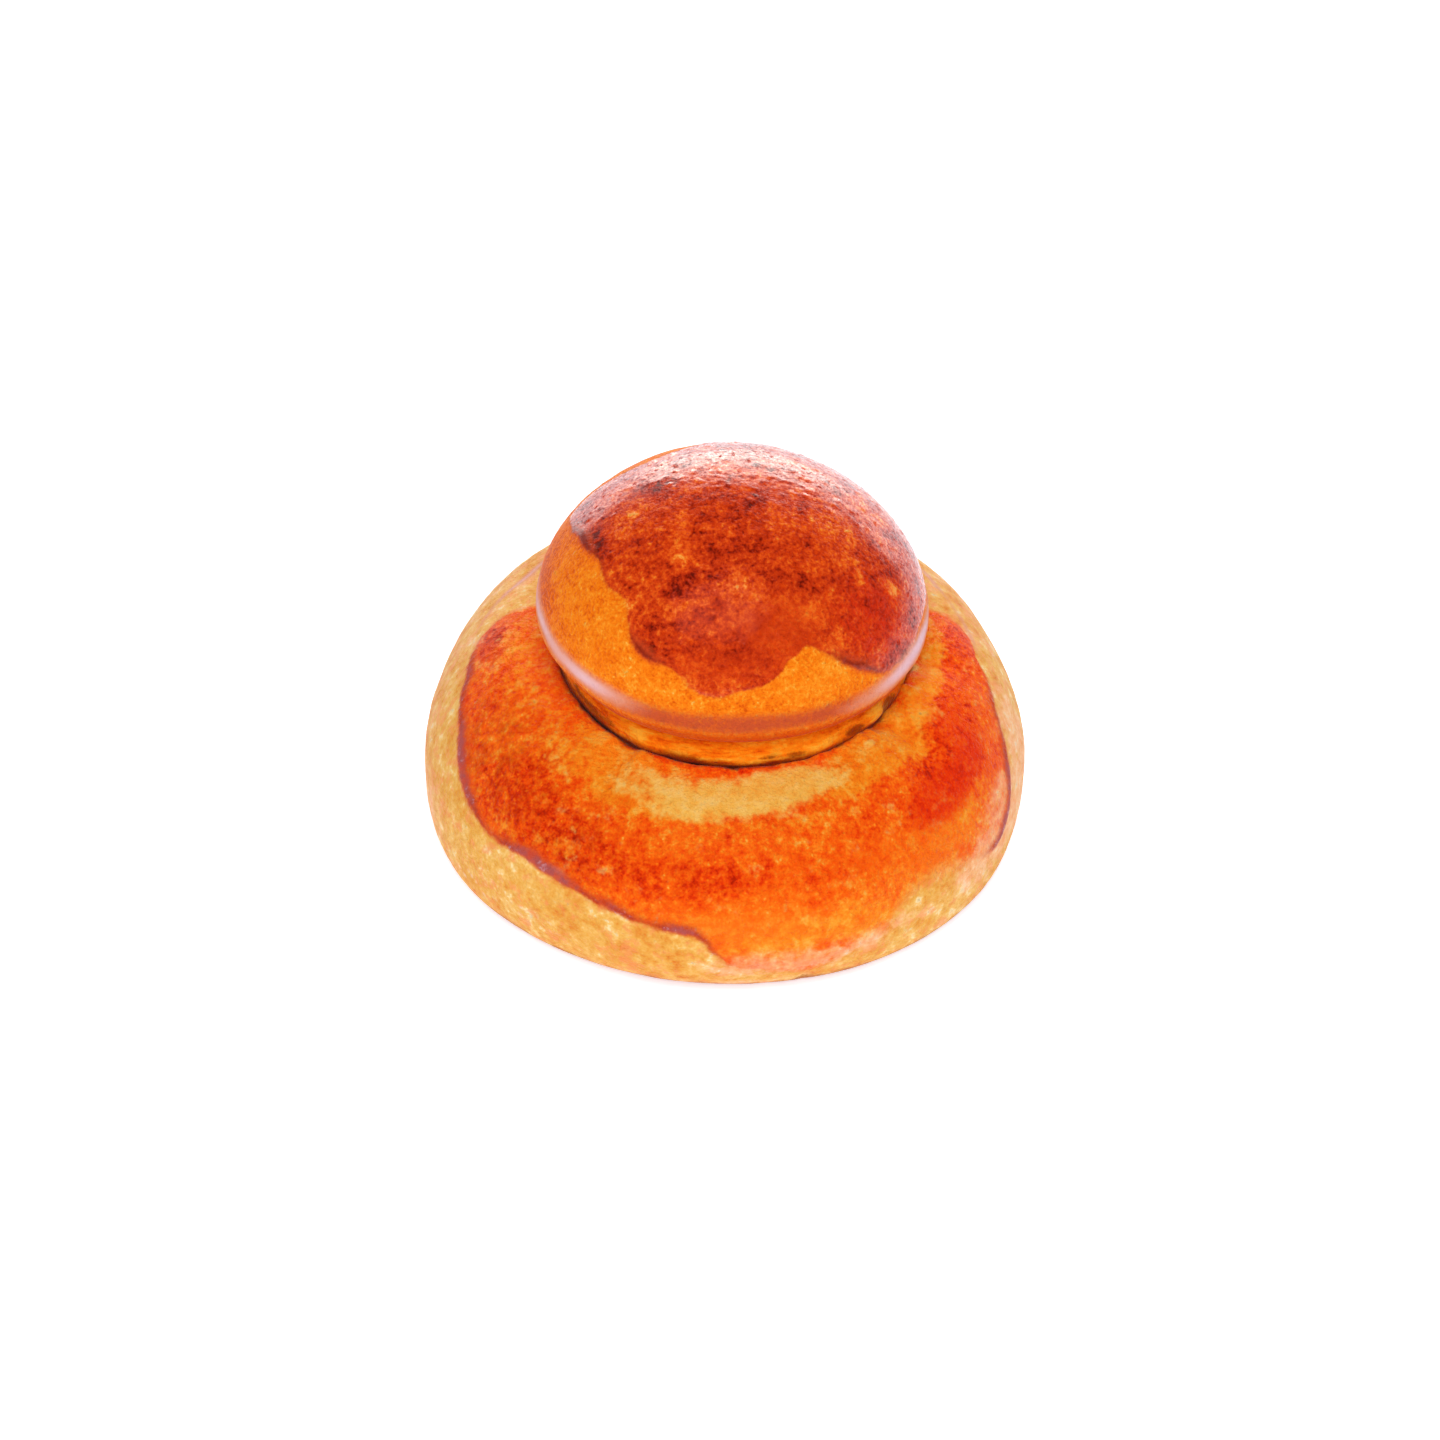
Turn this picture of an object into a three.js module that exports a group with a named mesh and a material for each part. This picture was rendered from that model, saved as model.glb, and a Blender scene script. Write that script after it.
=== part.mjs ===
// A brioche bun with a top-knot, as one closed solid: a low round body, a deep crease all
// round its crest, a short neck in the crease, and a domed knot of dough that overhangs it.
// Millimetres, +Z up. The bun stands on its flat base, and its front is towards -Y.

import * as THREE from 'three';

// Heights and radii of the profile, from the base up
const footRadius = 46.3; // edge of the flat base
const bodyRadius = 52.5; // widest ring of the body
const widestHeight = 10.7;
const crestRadius = 31.2; // rounded lip of the body, which the knot sits in
const crestHeight = 33.9;
const creaseRadius = 28.8; // bottom of the crease, inside the lip
const creaseHeight = 30.8;
const neckBulge = 1.5; // how far the neck swells between the crease and the fold
const foldRadius = 28.3; // where the neck turns out under the knot
const foldHeight = 38;
const knotRadius = 32.2; // widest ring of the knot
const knotHeight = 42.3;
const crownHeight = 67.5;

// Roundness of each curved stretch: 2 is part of an ellipse, and more is squarer
const undersideRoundness = 2.4;
const shoulderRoundness = 1.9;
const lipRoundness = 2;
const rimRoundness = 2;
const domeRoundness = 1.87;

// The body's crest and the knot lean forwards and sideways by different angles, in degrees
const crestLean = { forward: 1.5, left: 1.5 };
const knotLean = { forward: 0.2, left: 2.1 };
const knotOffset = { x: 1.2, y: 0.7 };

// Unevenness of three rings: waves round the bun, millimetres of radius, and the direction
// of one crest of the wave in degrees, where -90 is the front
const footLobes = [
  { waves: 2, size: 0.6, towards: -6 },
  { waves: 3, size: 0.95, towards: -37 },
];
const waistLobes = [
  { waves: 1, size: 0.15, towards: 124 },
  { waves: 3, size: 0.2, towards: -47 },
  { waves: 5, size: 0.2, towards: 60 },
];
const knotLobes = [
  { waves: 2, size: 0.75, towards: 9 },
  { waves: 3, size: 0.2, towards: -25 },
];

// Gathers: places where the lip of the body is drawn down into the crease
const gathers = [
  { towards: -124, depth: 0.9 },
  { towards: -36, depth: 1.1 },
  { towards: -6, depth: 0.8 },
  { towards: 68, depth: 1 },
  { towards: 152, depth: 0.9 },
];
const gatherWidth = 5; // degrees
const gatherReach = 8; // how soon a gather fades down the shoulder: more is sooner

// Fineness of the skin
const stepsAround = 112;
const baseSteps = 3;
const undersideSteps = 7;
const shoulderSteps = 13;
const lipSteps = 3;
const neckSteps = 4;
const rimSteps = 4;
const domeSteps = 12;

const toRadians = THREE.MathUtils.degToRad;
const smooth = (t) => t * t * (3 - 2 * t);

// A quarter of a superellipse between two points of the profile. It leaves the first point
// level and meets the second upright, or the other way round.
function quarterCurve(from, to, roundness, startsLevel, steps) {
  const points = [];
  for (let i = 1; i <= steps; i += 1) {
    const turn = (Math.PI / 2) * (i / steps);
    const sine = Math.sin(turn) ** (2 / roundness);
    const cosine = 1 - Math.cos(turn) ** (2 / roundness);
    const [outwards, upwards] = startsLevel ? [sine, cosine] : [cosine, sine];
    points.push({
      radius: from.radius + (to.radius - from.radius) * outwards,
      height: from.height + (to.height - from.height) * upwards,
    });
  }
  return points;
}

// The neck: a straight line from the crease to the fold, swollen by half a sine wave
function neckCurve(from, to, steps) {
  const points = [];
  for (let i = 1; i <= steps; i += 1) {
    const t = i / steps;
    points.push({
      radius: from.radius + (to.radius - from.radius) * t + neckBulge * Math.sin(Math.PI * t),
      height: from.height + (to.height - from.height) * t,
    });
  }
  return points;
}

// What a point of the profile follows, each from 0 to 1: the lobes of the three uneven
// rings, the lean and offset of the crest, the lean of the knot, and the gathers of the lip
const followsNothing = { foot: 0, waist: 0, knot: 0, seat: 0, over: 0, lip: 0 };

// The whole profile, from the centre of the base to the crown
function bunProfile() {
  const foot = { radius: footRadius, height: 0 };
  const waist = { radius: bodyRadius, height: widestHeight };
  const crest = { radius: crestRadius, height: crestHeight };
  const crease = { radius: creaseRadius, height: creaseHeight };
  const fold = { radius: foldRadius, height: foldHeight };
  const bulge = { radius: knotRadius, height: knotHeight };
  const crown = { radius: 0, height: crownHeight };
  const profile = [];
  const add = (point, follows) => profile.push({ ...followsNothing, ...point, ...follows });

  for (let i = 0; i <= baseSteps; i += 1) {
    const t = i / baseSteps;
    add({ radius: footRadius * t, height: 0 }, { foot: t });
  }
  for (const point of quarterCurve(foot, waist, undersideRoundness, true, undersideSteps)) {
    const t = smooth(point.height / widestHeight);
    add(point, { foot: 1 - t, waist: t });
  }
  for (const point of quarterCurve(waist, crest, shoulderRoundness, false, shoulderSteps)) {
    const t = smooth((point.height - widestHeight) / (crestHeight - widestHeight));
    add(point, { waist: 1 - t, seat: t, lip: t ** gatherReach });
  }
  for (const point of quarterCurve(crest, crease, lipRoundness, true, lipSteps)) {
    const t = (crestHeight - point.height) / (crestHeight - creaseHeight);
    add(point, { seat: 1, lip: 1 - t });
  }
  for (const point of neckCurve(crease, fold, neckSteps)) {
    const t = (point.height - creaseHeight) / (foldHeight - creaseHeight);
    add(point, { seat: 1, over: t });
  }
  for (const point of quarterCurve(fold, bulge, rimRoundness, true, rimSteps)) {
    const t = smooth((point.height - foldHeight) / (knotHeight - foldHeight));
    add(point, { seat: 1, over: 1, knot: t });
  }
  for (const point of quarterCurve(bulge, crown, domeRoundness, false, domeSteps)) {
    add(point, { seat: 1, over: 1, knot: point.radius / knotRadius });
  }
  return profile;
}

// Millimetres that a ring's lobes add to its radius in one direction
function lobesAt(lobes, angle) {
  let sum = 0;
  for (const lobe of lobes) {
    sum += lobe.size * Math.cos(lobe.waves * (angle - toRadians(lobe.towards)));
  }
  return sum;
}

// Millimetres that the gathers take off the height of the lip in one direction. Each is a
// bell curve of the angle between that direction and its own.
function gathersAt(angle) {
  let sum = 0;
  for (const gather of gathers) {
    const turn = angle - toRadians(gather.towards);
    const away = Math.atan2(Math.sin(turn), Math.cos(turn));
    sum += gather.depth * Math.exp(-((away / toRadians(gatherWidth)) ** 2));
  }
  return sum;
}

// Where a point of the profile lies once it is turned to an angle, made uneven and leaned
function skinPoint(point, angle) {
  const uneven =
    point.foot * lobesAt(footLobes, angle) +
    point.waist * lobesAt(waistLobes, angle) +
    point.knot * lobesAt(knotLobes, angle);
  const radius = point.radius + uneven;
  const x = radius * Math.cos(angle);
  const y = radius * Math.sin(angle);
  const forward = THREE.MathUtils.lerp(crestLean.forward, knotLean.forward, point.over);
  const left = THREE.MathUtils.lerp(crestLean.left, knotLean.left, point.over);
  const leaned = Math.tan(toRadians(forward)) * y - Math.tan(toRadians(left)) * x;
  const carried = point.seat ** 3; // the offset starts high on the shoulder
  return new THREE.Vector3(
    x + carried * knotOffset.x,
    y + carried * knotOffset.y,
    point.height + point.seat * leaned - point.lip * gathersAt(angle),
  );
}

// The skin is a lathed profile whose points are then moved to their uneven places, and the
// bun is stood with the middle of its box over the origin
function bunGeometry() {
  const profile = bunProfile();
  const outline = profile.map((point) => new THREE.Vector2(point.radius, point.height));
  const geometry = new THREE.LatheGeometry(outline, stepsAround);
  const position = geometry.getAttribute('position');
  for (let i = 0; i < position.count; i += 1) {
    const turn = Math.floor(i / profile.length) % stepsAround;
    const angle = (2 * Math.PI * turn) / stepsAround;
    const place = skinPoint(profile[i % profile.length], angle);
    position.setXYZ(i, place.x, place.y, place.z);
  }
  geometry.computeBoundingBox();
  const middle = geometry.boundingBox.getCenter(new THREE.Vector3());
  geometry.translate(-middle.x, -middle.y, 0);
  geometry.computeVertexNormals();
  return geometry;
}

const crust = new THREE.MeshStandardMaterial({ color: 0xe0641e, roughness: 0.4, metalness: 0 });

const bun = new THREE.Mesh(bunGeometry(), crust);
bun.name = 'bun';

const brioche = new THREE.Group();
brioche.add(bun);

export default brioche;
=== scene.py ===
# Brioche bun with a top-knot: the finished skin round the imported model, its crust, the light
# and the camera.

import itertools
import math

import bpy
import numpy as np
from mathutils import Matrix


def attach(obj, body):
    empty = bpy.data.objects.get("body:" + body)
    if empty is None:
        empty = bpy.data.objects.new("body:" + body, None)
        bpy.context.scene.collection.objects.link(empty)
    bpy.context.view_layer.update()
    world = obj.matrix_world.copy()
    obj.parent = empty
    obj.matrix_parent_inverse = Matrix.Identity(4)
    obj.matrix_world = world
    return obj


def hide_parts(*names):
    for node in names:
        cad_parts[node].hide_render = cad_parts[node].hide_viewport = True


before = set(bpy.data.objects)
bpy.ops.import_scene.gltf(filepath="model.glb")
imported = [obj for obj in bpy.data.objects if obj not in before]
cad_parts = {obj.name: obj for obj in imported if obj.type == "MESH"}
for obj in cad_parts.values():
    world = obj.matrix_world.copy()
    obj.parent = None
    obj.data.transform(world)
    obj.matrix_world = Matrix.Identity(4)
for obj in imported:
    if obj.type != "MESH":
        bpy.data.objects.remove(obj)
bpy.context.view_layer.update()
print("frame loaded")

millimetre = 0.001

# the camera stands straight in front of the bun and looks down on it
camera = {
    "elevation": 43.0,  # degrees above the table
    "distance": 0.520,  # metres from the point it aims at
    "aim": (-0.0008, 0.0, 0.0159),
    "lens": 74.4,  # mm
    "sensorWidth": 36.0,  # mm
    "clip": (0.01, 50.0),  # metres, the nearest and the farthest that it sees
}


def makeCamera(look):
    angle = math.radians(look["elevation"])
    back = np.array((0.0, -math.cos(angle), math.sin(angle)))
    data = bpy.data.cameras.new("camera")
    data.lens = look["lens"]
    data.sensor_width = look["sensorWidth"]
    data.clip_start, data.clip_end = look["clip"]
    eye = bpy.data.objects.new("camera", data)
    eye.location = np.array(look["aim"]) + look["distance"] * back
    eye.rotation_euler = (math.pi / 2 - angle, 0.0, 0.0)
    bpy.context.scene.collection.objects.link(eye)
    bpy.context.scene.camera = eye


makeCamera(camera)
print("camera placed")


# Shader expressions

def paint(red, green, blue):
    # a colour given as it looks on screen, from 0 to 255, made linear
    shares = [value / 255 for value in (red, green, blue)]
    linear = [share / 12.92 if share <= 0.04045 else ((share + 0.055) / 1.055) ** 2.4 for share in shares]
    return (*linear, 1.0)


def threeTimes(value):
    # a number as a vector of three equal parts, and anything else as it is
    return (value,) * 3 if isinstance(value, (int, float)) else value


class Wire:
    # an output socket that takes part in sums and products: values go through Math nodes, and
    # vectors, or a noise's colour read as one, through Vector Math nodes
    def __init__(self, graph, socket):
        self.graph = graph
        self.socket = socket

    def combine(self, operation, first, second):
        if self.socket.type == "VALUE":
            return self.graph.add("ShaderNodeMath", {"operation": operation}, {0: first, 1: second})
        parts = {0: threeTimes(first), 1: threeTimes(second)}
        return self.graph.add("ShaderNodeVectorMath", {"operation": operation}, parts)

    def __add__(self, other):
        return self.combine("ADD", self, other)

    def __radd__(self, other):
        return self.combine("ADD", other, self)

    def __sub__(self, other):
        return self.combine("SUBTRACT", self, other)

    def __rsub__(self, other):
        return self.combine("SUBTRACT", other, self)

    def __mul__(self, other):
        return self.combine("MULTIPLY", self, other)

    def __rmul__(self, other):
        return self.combine("MULTIPLY", other, self)

    def atLeast(self, other):
        return self.combine("MAXIMUM", self, other)

    def atMost(self, other):
        return self.combine("MINIMUM", self, other)


class Graph:
    # the node tree of one material or world
    def __init__(self, tree):
        self.tree = tree
        self.values = {}  # wires by name, which total and cover read
        tree.nodes.clear()

    def add(self, kind, settings=None, inputs=None, output=0):
        # one node: its settings first, then the values or wires of its sockets
        node = self.tree.nodes.new(kind)
        for name, value in (settings or {}).items():
            if name == "stops":
                self.setStops(node.color_ramp, value)
            else:
                setattr(node, name, value)
        for name, value in (inputs or {}).items():
            if isinstance(value, Wire):
                self.tree.links.new(value.socket, node.inputs[name])
            else:
                node.inputs[name].default_value = value
        return Wire(self, node.outputs[output]) if node.outputs else node

    def setStops(self, ramp, stops):
        # rows of a position and a colour as it looks on screen
        while len(ramp.elements) < len(stops):
            ramp.elements.new(0.5)
        for element, (position, *colour) in zip(ramp.elements, stops):
            element.position = position
            element.color = paint(*colour)

    def mix(self, first, second, factor):
        # colours blended by a factor from 0 to 1, through the node's colour sockets
        colours = {0: factor, 6: first, 7: second}
        return self.add("ShaderNodeMix", {"data_type": "RGBA"}, colours, output=2)

    def smoothStep(self, value, low, high, least=0.0, most=1.0):
        # rises smoothly from least to most as the value goes from low to high
        inputs = {0: value, 1: low, 2: high, 3: least, 4: most}
        return self.add("ShaderNodeMapRange", {"interpolation_type": "SMOOTHSTEP"}, inputs)

    def attribute(self, name):
        return self.add("ShaderNodeAttribute", {"attribute_name": name}, output=2)

    def noise(self, where, wavelength, detail, roughness, distortion=0.0):
        # fractal noise round 0.5, its wavelength in millimetres
        inputs = {
            "Vector": where,
            "Scale": 1.0 / (wavelength * millimetre),
            "Detail": detail,
            "Roughness": roughness,
            "Distortion": distortion,
        }
        return self.add("ShaderNodeTexNoise", None, inputs)

    def cells(self, where, spacing):
        # distance to the nearest of scattered points, as a share of their spacing in millimetres
        inputs = {"Vector": where, "Scale": 1.0 / (spacing * millimetre)}
        return self.add("ShaderNodeTexVoronoi", None, inputs)

    def total(self, weights, start=0.0):
        # start + each named value times its weight
        terms = [self.values[name] * weight for name, weight in weights.items()]
        return sum(terms[1:], terms[0] + start)

    def cover(self, weights, low, high, amount=1.0, field=None, evenly=1.0):
        # from 0 to the amount as the total of the named values goes from low to high, or as a
        # field times the even share + total does
        value = self.total(weights) if field is None else self.values[field] * self.total(weights, evenly)
        return self.smoothStep(value, low, high, 0.0, amount)

    def band(self, value, rise, fall):
        # up from 0 to 1 between the two values of the rise, and down again between the fall's
        return self.smoothStep(value, *rise) * self.smoothStep(value, *fall)

    def ramp(self, look, contrast=1.0):
        # light + mottling * contrast + shade, through the ramp
        light = self.total(look["mottling"]) * contrast + look["light"]
        if "shade" in look:
            light = light + self.total(look["shade"])
        return self.add("ShaderNodeValToRGB", {"stops": look["ramp"]}, {0: light})

    def layer(self, under, look):
        # the look's colour or ramp over another, where its cover says
        over = self.ramp(look) if "ramp" in look else look["colour"]
        return self.mix(under, over, self.cover(*look["cover"]))


# Stage and light

stage = {
    "floorRadius": 3.0,  # metres
    "floorSides": 96,
    "floorColour": paint(242, 241, 246),
    # the white table glows a little, as a lit one does
    "floorSurface": {"Roughness": 0.9, "Specular IOR Level": 0.1, "Emission Strength": 0.68},
    "skyColour": (1.0, 0.99, 0.98, 1.0),
    "skyStrength": 0.34,  # what falls on the bun and the floor from all sides
    "skySeen": 0.9,  # how bright the sky looks past the floor's edge, as light as the far floor
    "lampsAim": (0.0, 0.0, 0.035),  # metres, the point that all lamps face
}

# soft boxes: where they hang and their width and height in metres, how strong they are, and
# whether they only show in the gloss of the crust or only light it softly. The wide and the
# tall one hang behind the bun and put the pale veil on the knot's far side.
lamps = {
    "front": {
        "place": (-0.03, -0.48, 0.84), "size": (0.70, 0.55), "watts": 5.6,
        "colour": (1.0, 0.985, 0.96), "inGloss": False,
    },
    "back": {
        "place": (0.10, 0.70, 0.55), "size": (0.90, 0.40), "watts": 3.6,
        "colour": (0.96, 0.95, 1.0), "inGloss": False,
    },
    "wide": {
        "place": (0.08, 0.90, 0.12), "size": (2.0, 0.42), "watts": 6.2,
        "colour": (0.92, 0.94, 0.92), "inGloss": True,
    },
    "tall": {
        "place": (0.06, 0.90, 0.16), "size": (0.76, 0.98), "watts": 7.0,
        "colour": (0.92, 0.95, 0.86), "inGloss": True,
    },
}


def makeFloor(look):
    # a flat disc of one round of points about its middle
    sides = look["floorSides"]
    turn = np.linspace(0, 2 * np.pi, sides, endpoint=False)
    ring = look["floorRadius"] * np.stack([np.cos(turn), np.sin(turn), 0 * turn], -1)
    mesh = bpy.data.meshes.new("floor")
    mesh.from_pydata(ring.tolist(), [], [list(range(sides))])
    floor = bpy.data.objects.new("floor", mesh)
    bpy.context.scene.collection.objects.link(floor)
    material = bpy.data.materials.new("floor")
    material.use_nodes = True
    graph = Graph(material.node_tree)
    colour = look["floorColour"]
    inputs = {"Base Color": colour, "Emission Color": colour, **look["floorSurface"]}
    surface = graph.add("ShaderNodeBsdfPrincipled", None, inputs)
    graph.add("ShaderNodeOutputMaterial", None, {"Surface": surface})
    mesh.materials.append(material)


def makeWorld(look):
    # an even pale sky that lights softly and doesn't show in the gloss
    world = bpy.data.worlds.new("studio")
    world.use_nodes = True
    bpy.context.scene.world = world
    world.cycles_visibility.glossy = False
    graph = Graph(world.node_tree)
    seen = graph.add("ShaderNodeLightPath", output=0)
    strength = look["skyStrength"] + seen * (look["skySeen"] - look["skyStrength"])
    sky = graph.add("ShaderNodeBackground", None, {"Color": look["skyColour"], "Strength": strength})
    graph.add("ShaderNodeOutputWorld", None, {"Surface": sky})


def makeLamps(look, aim):
    # elliptical area lamps, each turned so that its face looks at the aim
    for name, lamp in look.items():
        data = bpy.data.lights.new(name, "AREA")
        data.shape = "ELLIPSE"
        data.size, data.size_y = lamp["size"]
        data.energy = lamp["watts"]
        data.color = lamp["colour"]
        box = bpy.data.objects.new(name, data)
        box.location = lamp["place"]
        towards = np.array(aim) - np.array(lamp["place"])
        flat = math.hypot(towards[0], towards[1])
        box.rotation_euler = (math.atan2(flat, -towards[2]), 0.0, math.atan2(-towards[0], towards[1]))
        box.visible_glossy = lamp["inGloss"]
        box.visible_diffuse = not lamp["inGloss"]
        bpy.context.scene.collection.objects.link(box)


makeFloor(stage)
makeWorld(stage)
makeLamps(lamps, stage["lampsAim"])
bpy.context.scene.view_settings.view_transform = "Standard"
print("stage and light made")


# The bun's skin, in millimetres until it becomes a mesh. The named sizes are the solid's own.

bun = {
    "foot": (46.3, 0.0),  # radius and height of the rings that the profile runs through
    "waist": (52.5, 10.7),
    "crest": (31.2, 33.9),
    "crease": (28.8, 30.8),
    "fold": (28.3, 38.0),
    "bulge": (32.2, 42.3),
    "crown": (0.0, 67.5),
    "undersideRoundness": 2.4,  # 2 is part of an ellipse, more is squarer
    "shoulderRoundness": 1.9,
    "lipRoundness": 2,
    "rimRoundness": 2,
    "domeRoundness": 1.87,
    "neckBulge": 1.5,
    "crestLean": (1.5, 1.5),  # degrees forwards and to the left
    "knotLean": (0.2, 2.1),
    "knotOffset": (1.2, 0.7),
    "footLobes": [(2, 0.6, -6), (3, 0.95, -37)],  # waves round the bun, size, direction of a crest
    "waistLobes": [(1, 0.15, 124), (3, 0.2, -47), (5, 0.2, 60)],
    "knotLobes": [(2, 0.75, 9), (3, 0.2, -25)],
    "gathers": [(-124, 0.9), (-36, 1.1), (-6, 0.8), (68, 1.0), (152, 0.9)],  # direction, depth
    "gatherWidth": 5.0,  # degrees
    "gatherReach": 8,  # how soon a gather fades down the shoulder: more is sooner
    "curvePoints": 160,  # points of each stretch of the profile before it is resampled
    "ringStep": 0.53,  # spacing of the skin's rings
    "columns": 440,
    "baseRings": 6,
}

# what stands out of the smooth form, in millimetres
relief = {
    "dough": [(24.0, 0.45, 11), (9.0, 0.14, 12)],  # wavelength, height and seed of the soft unevenness
    "leather": [(3.6, 0.035, 21), (1.7, 0.02, 22)],  # the same, where the crust is washed
    "leatherOnBody": 0.4,  # the body's share of it
    "grain": [(2.6, 0.05, 31), (1.3, 0.04, 32)],  # the same, where the crust is plain
    "beadHeight": 0.20,  # the ridge of dried wash along its border
    "beadWidth": 0.9,
    "blisters": 420,
    "blisterSeed": 5,
    "blisterSize": (0.5, 1.1),
    "blisterHeight": (0.04, 0.16),
    "blisterRoundness": 1.5,
    "blisterZone": (44.0, 66.0),  # they stand closer from the first height up to the second
    "neckFibres": 0.34,
    "fibreStretch": (0.12, 0.12, 1.0),  # the neck's fibres run round it
    "fibreWave": (1.5, 41),  # wavelength and seed
    "wrinkles": 0.35,  # radial wrinkles of the lip
    "wrinkleWave": (1.6, 43),
    "wrinkleSpokes": (18.0, 0.12),  # how close they stand round the bun and up it: more is closer
    "wrinkleTop": 0.1,  # they are cut level here, so that the furrows show and not the ridges
    "wrinkleBand": (-4.5, 3.0),  # middle and half width of where they are, above the crease
    "raggedness": 0.55,  # torn bits in the crease
    "raggedWave": (1.9, 47),
    "raggedBand": (0.2, 2.2),
    # small folds of the lip and of the neck above it, at 55 mm and more along the profile:
    # direction, millimetres along the profile, half width, half length and height
    "folds": [
        (-119, 48.0, 1.0, 2.6, 0.5), (-62, 48.5, 1.6, 1.6, 0.5), (-47, 47.5, 0.8, 2.4, 0.5),
        (-33, 48.3, 0.9, 2.8, 0.6), (-21, 48.6, 0.8, 1.8, 0.8), (-40, 49.0, 1.2, 1.6, -0.5),
        (-149, 48.0, 0.8, 2.2, 0.3), (25, 48.0, 1.0, 2.5, 0.4), (88, 48.4, 1.2, 2.5, 0.4),
        (134, 48.2, 0.9, 2.2, 0.4), (-62, 57.4, 3.0, 1.3, 0.6), (-39, 57.6, 2.6, 1.2, 0.7),
        (-68, 56.0, 2.2, 0.9, 0.35), (-118, 56.5, 2.6, 1.2, 0.4),
    ],
    "tuckDepth": 0.7,  # the small fold in the lower edge
    "tuck": (-75.0, 6.2, 1.2, 2.2),  # its place and half sizes, as above
    "flatBelow": 4.0,  # all relief fades out below this height
}


def smooth(share):
    share = np.clip(share, 0.0, 1.0)
    return share * share * (3 - 2 * share)


def quarterCurve(start, end, roundness, startsLevel, count):
    # a quarter of a superellipse between two (radius, height) points
    turn = np.linspace(0, np.pi / 2, count)
    sine = np.sin(turn) ** (2 / roundness)
    cosine = 1 - np.cos(turn) ** (2 / roundness)
    outwards, upwards = (sine, cosine) if startsLevel else (cosine, sine)
    radius = start[0] + (end[0] - start[0]) * outwards
    height = start[1] + (end[1] - start[1]) * upwards
    return radius, height


def neckCurve(start, end, bulge, count):
    # a straight line swollen by half a sine wave
    share = np.linspace(0, 1, count)
    radius = start[0] + (end[0] - start[0]) * share + bulge * np.sin(np.pi * share)
    height = start[1] + (end[1] - start[1]) * share
    return radius, height


def bunProfile(shape):
    # the stretches of the profile from the foot up, joined and resampled at even steps of their
    # length. The other rows say how far each point follows a ring's lobes, a lean or the gathers.
    foot, waist, crest, crease = (shape[name] for name in ("foot", "waist", "crest", "crease"))
    fold, bulge, crown = (shape[name] for name in ("fold", "bulge", "crown"))
    names = ("radius", "height", "foot", "waist", "knot", "seat", "over", "lip", "neck")
    count = shape["curvePoints"]
    stretches = []

    def addStretch(curve, **follows):
        rows = {name: np.zeros(count) for name in names}
        rows["radius"], rows["height"] = curve
        rows.update({name: value + np.zeros(count) for name, value in follows.items()})
        stretches.append(rows)

    under = quarterCurve(foot, waist, shape["undersideRoundness"], True, count)
    share = smooth(under[1] / waist[1])
    addStretch(under, foot=1 - share, waist=share)
    shoulder = quarterCurve(waist, crest, shape["shoulderRoundness"], False, count)
    share = smooth((shoulder[1] - waist[1]) / (crest[1] - waist[1]))
    addStretch(shoulder, waist=1 - share, seat=share, lip=share ** shape["gatherReach"])
    lip = quarterCurve(crest, crease, shape["lipRoundness"], True, count)
    share = (crest[1] - lip[1]) / (crest[1] - crease[1])
    addStretch(lip, seat=1, lip=1 - share, neck=share * 0.5)  # the lip's foot is half neck
    neck = neckCurve(crease, fold, shape["neckBulge"], count)
    share = (neck[1] - crease[1]) / (fold[1] - crease[1])
    addStretch(neck, seat=1, over=share, neck=1)
    rim = quarterCurve(fold, bulge, shape["rimRoundness"], True, count)
    share = smooth((rim[1] - fold[1]) / (bulge[1] - fold[1]))
    addStretch(rim, seat=1, over=1, knot=share, neck=1 - share)
    dome = quarterCurve(bulge, crown, shape["domeRoundness"], False, count)
    addStretch(dome, seat=1, over=1, knot=dome[0] / bulge[0])

    rows = {name: np.concatenate([each[name] for each in stretches]) for name in names}
    steps = np.hypot(np.diff(rows["radius"], prepend=foot[0]), np.diff(rows["height"], prepend=0))
    length = np.cumsum(steps)
    even = np.linspace(0, length[-1], int(round(length[-1] / shape["ringStep"])) + 1)
    profile = {name: np.interp(even, length, rows[name])[:, None] for name in names}
    profile["length"] = even[:, None]
    profile["creaseLength"] = length[3 * count - 1]  # the third stretch ends at the crease
    profile["foldLength"] = length[4 * count - 1]
    profile["radius"][-1] = 0.0
    return profile


def lobesAt(lobes, turn):
    # the sum of cosine waves round the bun
    return sum(size * np.cos(waves * (turn - math.radians(towards))) for waves, size, towards in lobes)


def turnBetween(turn, degrees):
    # signed angle from a direction given in degrees, between -180 and 180, in degrees
    return (np.degrees(turn) - degrees + 180.0) % 360.0 - 180.0


def smoothSkin(shape, profile, turn):
    # every profile point turned to every direction, made uneven by the lobes, then leaned and offset
    uneven = sum(profile[ring] * lobesAt(shape[ring + "Lobes"], turn) for ring in ("foot", "waist", "knot"))
    radius = profile["radius"] + uneven
    x = radius * np.cos(turn)
    y = radius * np.sin(turn)
    crestLean, knotLean = (np.tan(np.radians(shape[name])) for name in ("crestLean", "knotLean"))
    forward, left = ((1 - profile["over"]) * crestLean[i] + profile["over"] * knotLean[i] for i in range(2))
    gathered = sum(
        depth * np.exp(-(turnBetween(turn, towards) / shape["gatherWidth"]) ** 2)
        for towards, depth in shape["gathers"]
    )
    z = profile["height"] + profile["seat"] * (forward * y - left * x) - profile["lip"] * gathered
    carried = profile["seat"] ** 3
    x = x + carried * shape["knotOffset"][0]
    y = y + carried * shape["knotOffset"][1]
    return np.stack([x, y, z], -1)


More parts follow.
